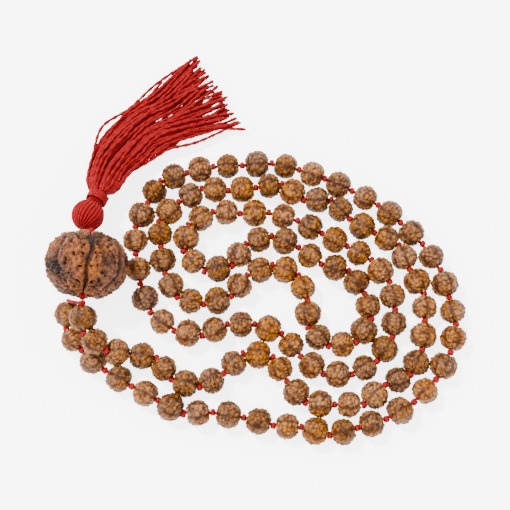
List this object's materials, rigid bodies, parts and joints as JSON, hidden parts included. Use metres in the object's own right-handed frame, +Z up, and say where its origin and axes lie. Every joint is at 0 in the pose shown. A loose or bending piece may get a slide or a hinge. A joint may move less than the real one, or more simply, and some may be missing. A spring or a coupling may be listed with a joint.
{
  "type": "mala prayer beads",
  "caption": "Seed prayer beads on a knotted red cord, coiled flat, closing through a large guru bead with a red tassel.",
  "frame": {"origin": "on the table, under the middle of the coiled layout", "axes": "+Z up; the guru bead lies at -X, the tassel points to +Y, and the coil of small beads fills the middle"},
  "size_m": [0.1282, 0.1264, 0.026],
  "materials": {
    "bead_seed": "rough",
    "guru_seed": "rough",
    "red_cord": "matte",
    "tassel_thread": "matte"
  },
  "bodies": {
    "coil": {"bead_run_035_043": "bead_seed", "bead_run_044_052": "bead_seed", "bead_run_053_061": "bead_seed", "bead_run_062_070": "bead_seed", "bead_run_071_078": "bead_seed", "bead_run_079_086": "bead_seed", "bead_run_087_094": "bead_seed", "bead_run_095_102": "bead_seed", "cord_coil": "red_cord"},
    "link_1": {"cord_link_1": "red_cord"},
    "link_2": {"cord_link_2": "red_cord"},
    "link_3": {"cord_link_3": "red_cord"},
    "link_4": {"cord_link_4": "red_cord"},
    "gather": {"cord_gather": "red_cord"},
    "hub": {"guru_cord": "red_cord", "guru_knot": "red_cord"},
    "guru": {"guru_bead": "guru_seed"},
    "tassel_top": {"tassel_head": "tassel_thread", "tassel_wrap": "tassel_thread"},
    "tassel_end": {"tassel_skirt": "tassel_thread"},
    "bead_001": {"bead_001": "bead_seed"},
    "bead_002": {"bead_002": "bead_seed"},
    "bead_003": {"bead_003": "bead_seed"},
    "bead_004": {"bead_004": "bead_seed"},
    "bead_005": {"bead_005": "bead_seed"},
    "bead_006": {"bead_006": "bead_seed"},
    "bead_007": {"bead_007": "bead_seed"},
    "bead_008": {"bead_008": "bead_seed"},
    "bead_009": {"bead_009": "bead_seed"},
    "bead_010": {"bead_010": "bead_seed"},
    "bead_011": {"bead_011": "bead_seed"},
    "bead_012": {"bead_012": "bead_seed"},
    "bead_013": {"bead_013": "bead_seed"},
    "bead_014": {"bead_014": "bead_seed"},
    "bead_015": {"bead_015": "bead_seed"},
    "bead_016": {"bead_016": "bead_seed"},
    "bead_017": {"bead_017": "bead_seed"},
    "bead_018": {"bead_018": "bead_seed"},
    "bead_019": {"bead_019": "bead_seed"},
    "bead_020": {"bead_020": "bead_seed"},
    "bead_021": {"bead_021": "bead_seed"},
    "bead_022": {"bead_022": "bead_seed"},
    "bead_023": {"bead_023": "bead_seed"},
    "bead_024": {"bead_024": "bead_seed"},
    "bead_025": {"bead_025": "bead_seed"},
    "bead_026": {"bead_026": "bead_seed"},
    "bead_027": {"bead_027": "bead_seed"},
    "bead_028": {"bead_028": "bead_seed"},
    "bead_029": {"bead_029": "bead_seed"},
    "bead_030": {"bead_030": "bead_seed"},
    "bead_031": {"bead_031": "bead_seed"},
    "bead_032": {"bead_032": "bead_seed"},
    "bead_033": {"bead_033": "bead_seed"},
    "bead_034": {"bead_034": "bead_seed"},
    "bead_103": {"bead_103": "bead_seed"},
    "bead_104": {"bead_104": "bead_seed"},
    "bead_105": {"bead_105": "bead_seed"},
    "bead_106": {"bead_106": "bead_seed"},
    "bead_107": {"bead_107": "bead_seed"},
    "bead_108": {"bead_108": "bead_seed"}
  },
  "joints": [
    {"name": "thread_bend_1", "type": "hinge", "parent": "coil", "child": "link_1", "pos_m": [-0.02736, -0.04679, 0.00408], "axis": [0.5454, 0.8382, 0.0001], "range_deg": [0, 7]},
    {"name": "thread_bend_2", "type": "hinge", "parent": "link_1", "child": "link_2", "pos_m": [-0.03356, -0.04146, 0.00412], "axis": [0.6151, 0.7884, 0.0083], "range_deg": [0, 7]},
    {"name": "thread_bend_3", "type": "hinge", "parent": "link_2", "child": "link_3", "pos_m": [-0.0421, -0.03843, 0.00408], "axis": [0.8035, 0.5953, 0], "range_deg": [0, 7]},
    {"name": "thread_bend_4", "type": "hinge", "parent": "link_3", "child": "link_4", "pos_m": [-0.04879, -0.03526, 0.00709], "axis": [0.7979, -0.1014, 0.5942], "range_deg": [0, 7]},
    {"name": "thread_bend_5", "type": "hinge", "parent": "link_4", "child": "gather", "pos_m": [-0.05451, -0.02942, 0.00774], "axis": [0.6414, -0.2759, 0.7159], "range_deg": [0, 7]},
    {"name": "guru_lift", "type": "hinge", "parent": "gather", "child": "hub", "pos_m": [-0.05206, -0.02219, 0.013], "axis": [0.9968, -0.0802, 0], "range_deg": [0, 15]},
    {"name": "guru_turn", "type": "hinge", "parent": "hub", "child": "guru", "pos_m": [-0.05109, -0.01018, 0.013], "axis": [0.0802, 0.9968, 0], "continuous": true},
    {"name": "tassel_swing", "type": "hinge", "parent": "hub", "child": "tassel_top", "pos_m": [-0.05169, 0.00642, 0.0093], "axis": [0, 0, 1], "range_deg": [0, 45]},
    {"name": "tassel_lift", "type": "hinge", "parent": "tassel_top", "child": "tassel_end", "pos_m": [-0.04709, 0.01762, 0.0065], "axis": [0.9272, -0.3746, 0], "range_deg": [0, 60]},
    {"name": "turn_bead_001", "type": "hinge", "parent": "gather", "child": "bead_001", "pos_m": [-0.05723, -0.02375, 0.0048], "axis": [-0.1248, -0.979, -0.1613], "continuous": true},
    {"name": "turn_bead_002", "type": "hinge", "parent": "link_4", "child": "bead_002", "pos_m": [-0.05531, -0.03138, 0.00408], "axis": [0.5912, -0.8065, -0.0022], "continuous": true},
    {"name": "turn_bead_003", "type": "hinge", "parent": "link_3", "child": "bead_003", "pos_m": [-0.04916, -0.03784, 0.00408], "axis": [0.7664, -0.6423, 0], "continuous": true},
    {"name": "turn_bead_004", "type": "hinge", "parent": "link_2", "child": "bead_004", "pos_m": [-0.04124, -0.04341, 0.00408], "axis": [0.862, -0.5069, 0], "continuous": true},
    {"name": "turn_bead_005", "type": "hinge", "parent": "link_1", "child": "bead_005", "pos_m": [-0.0332, -0.0479, 0.00408], "axis": [0.885, -0.4655, 0.0006], "continuous": true},
    {"name": "turn_bead_006", "type": "hinge", "parent": "coil", "child": "bead_006", "pos_m": [-0.02553, -0.05203, 0.00408], "axis": [0.8768, -0.4809, -0.0005], "continuous": true},
    {"name": "turn_bead_007", "type": "hinge", "parent": "coil", "child": "bead_007", "pos_m": [-0.01723, -0.05382, 0.00408], "axis": [0.9973, 0.0729, 0], "continuous": true},
    {"name": "turn_bead_008", "type": "hinge", "parent": "coil", "child": "bead_008", "pos_m": [-0.00817, -0.0543, 0.00408], "axis": [0.9851, -0.1722, 0], "continuous": true},
    {"name": "turn_bead_009", "type": "hinge", "parent": "coil", "child": "bead_009", "pos_m": [0.00087, -0.05631, 0.00408], "axis": [0.9651, -0.2619, 0], "continuous": true},
    {"name": "turn_bead_010", "type": "hinge", "parent": "coil", "child": "bead_010", "pos_m": [0.00947, -0.0577, 0.00408], "axis": [0.999, -0.0444, 0], "continuous": true},
    {"name": "turn_bead_011", "type": "hinge", "parent": "coil", "child": "bead_011", "pos_m": [0.01785, -0.05916, 0.00408], "axis": [0.957, -0.29, 0], "continuous": true},
    {"name": "turn_bead_012", "type": "hinge", "parent": "coil", "child": "bead_012", "pos_m": [0.02611, -0.05936, 0.00408], "axis": [0.9665, 0.2568, 0], "continuous": true},
    {"name": "turn_bead_013", "type": "hinge", "parent": "coil", "child": "bead_013", "pos_m": [0.0346, -0.05694, 0.00408], "axis": [0.9571, 0.2898, 0], "continuous": true},
    {"name": "turn_bead_014", "type": "hinge", "parent": "coil", "child": "bead_014", "pos_m": [0.04331, -0.05305, 0.00408], "axis": [0.8586, 0.5126, 0], "continuous": true},
    {"name": "turn_bead_015", "type": "hinge", "parent": "coil", "child": "bead_015", "pos_m": [0.05098, -0.04709, 0.00408], "axis": [0.7062, 0.708, 0], "continuous": true},
    {"name": "turn_bead_016", "type": "hinge", "parent": "coil", "child": "bead_016", "pos_m": [0.05676, -0.03952, 0.00408], "axis": [0.4966, 0.868, 0], "continuous": true},
    {"name": "turn_bead_017", "type": "hinge", "parent": "coil", "child": "bead_017", "pos_m": [0.06013, -0.03101, 0.00408], "axis": [0.2232, 0.9748, 0], "continuous": true},
    {"name": "turn_bead_018", "type": "hinge", "parent": "coil", "child": "bead_018", "pos_m": [0.06031, -0.02258, 0.00408], "axis": [-0.1976, 0.9803, 0], "continuous": true},
    {"name": "turn_bead_019", "type": "hinge", "parent": "coil", "child": "bead_019", "pos_m": [0.05833, -0.01403, 0.00408], "axis": [-0.2514, 0.9679, 0], "continuous": true},
    {"name": "turn_bead_020", "type": "hinge", "parent": "coil", "child": "bead_020", "pos_m": [0.05451, -0.00538, 0.00408], "axis": [-0.537, 0.8436, 0], "continuous": true},
    {"name": "turn_bead_021", "type": "hinge", "parent": "coil", "child": "bead_021", "pos_m": [0.04855, 0.00223, 0.00408], "axis": [-0.6923, 0.7216, 0], "continuous": true},
    {"name": "turn_bead_022", "type": "hinge", "parent": "coil", "child": "bead_022", "pos_m": [0.04183, 0.00855, 0.00408], "axis": [-0.7651, 0.6439, 0], "continuous": true},
    {"name": "turn_bead_023", "type": "hinge", "parent": "coil", "child": "bead_023", "pos_m": [0.03437, 0.01372, 0.00408], "axis": [-0.8691, 0.4946, 0], "continuous": true},
    {"name": "turn_bead_024", "type": "hinge", "parent": "coil", "child": "bead_024", "pos_m": [0.02608, 0.01806, 0.00408], "axis": [-0.9021, 0.4316, 0], "continuous": true},
    {"name": "turn_bead_025", "type": "hinge", "parent": "coil", "child": "bead_025", "pos_m": [0.01783, 0.02158, 0.00408], "axis": [-0.9373, 0.3485, 0], "continuous": true},
    {"name": "turn_bead_026", "type": "hinge", "parent": "coil", "child": "bead_026", "pos_m": [0.00949, 0.02419, 0.00408], "axis": [-0.968, 0.251, 0], "continuous": true},
    {"name": "turn_bead_027", "type": "hinge", "parent": "coil", "child": "bead_027", "pos_m": [0.00043, 0.02492, 0.00408], "axis": [-0.9966, -0.082, 0], "continuous": true},
    {"name": "turn_bead_028", "type": "hinge", "parent": "coil", "child": "bead_028", "pos_m": [-0.00881, 0.02434, 0.00408], "axis": [-0.9991, -0.0419, 0], "continuous": true},
    {"name": "turn_bead_029", "type": "hinge", "parent": "coil", "child": "bead_029", "pos_m": [-0.01751, 0.02311, 0.00408], "axis": [-0.9706, -0.2407, 0], "continuous": true},
    {"name": "turn_bead_030", "type": "hinge", "parent": "coil", "child": "bead_030", "pos_m": [-0.0258, 0.02077, 0.00408], "axis": [-0.9529, -0.3034, 0], "continuous": true},
    {"name": "turn_bead_031", "type": "hinge", "parent": "coil", "child": "bead_031", "pos_m": [-0.03186, 0.01582, 0.00408], "axis": [-0.4758, -0.8795, 0], "continuous": true},
    {"name": "turn_bead_032", "type": "hinge", "parent": "coil", "child": "bead_032", "pos_m": [-0.03567, 0.00817, 0.00408], "axis": [-0.4177, -0.9086, 0], "continuous": true},
    {"name": "turn_bead_033", "type": "hinge", "parent": "coil", "child": "bead_033", "pos_m": [-0.03735, -0.00017, 0.00408], "axis": [0.0371, -0.9993, 0], "continuous": true},
    {"name": "turn_bead_034", "type": "hinge", "parent": "coil", "child": "bead_034", "pos_m": [-0.03638, -0.00925, 0.00408], "axis": [0.1672, -0.9859, 0], "continuous": true},
    {"name": "turn_bead_103", "type": "hinge", "parent": "coil", "child": "bead_103", "pos_m": [-0.02111, -0.04486, 0.00408], "axis": [-0.9623, 0.2721, 0.0007], "continuous": true},
    {"name": "turn_bead_104", "type": "hinge", "parent": "link_1", "child": "bead_104", "pos_m": [-0.02771, -0.04034, 0.00413], "axis": [-0.5824, 0.8128, 0.0106], "continuous": true},
    {"name": "turn_bead_105", "type": "hinge", "parent": "link_2", "child": "bead_105", "pos_m": [-0.03441, -0.03647, 0.00412], "axis": [-0.9921, 0.1249, -0.0107], "continuous": true},
    {"name": "turn_bead_106", "type": "hinge", "parent": "link_3", "child": "bead_106", "pos_m": [-0.04174, -0.03585, 0.00709], "axis": [-0.7063, 0.0182, 0.7077], "continuous": true},
    {"name": "turn_bead_107", "type": "hinge", "parent": "link_4", "child": "bead_107", "pos_m": [-0.04799, -0.0333, 0.01075], "axis": [-0.7857, 0.5989, 0.1553], "continuous": true},
    {"name": "turn_bead_108", "type": "hinge", "parent": "gather", "child": "bead_108", "pos_m": [-0.05165, -0.02651, 0.0122], "axis": [-0.0924, 0.9788, 0.1825], "continuous": true}
  ]
}
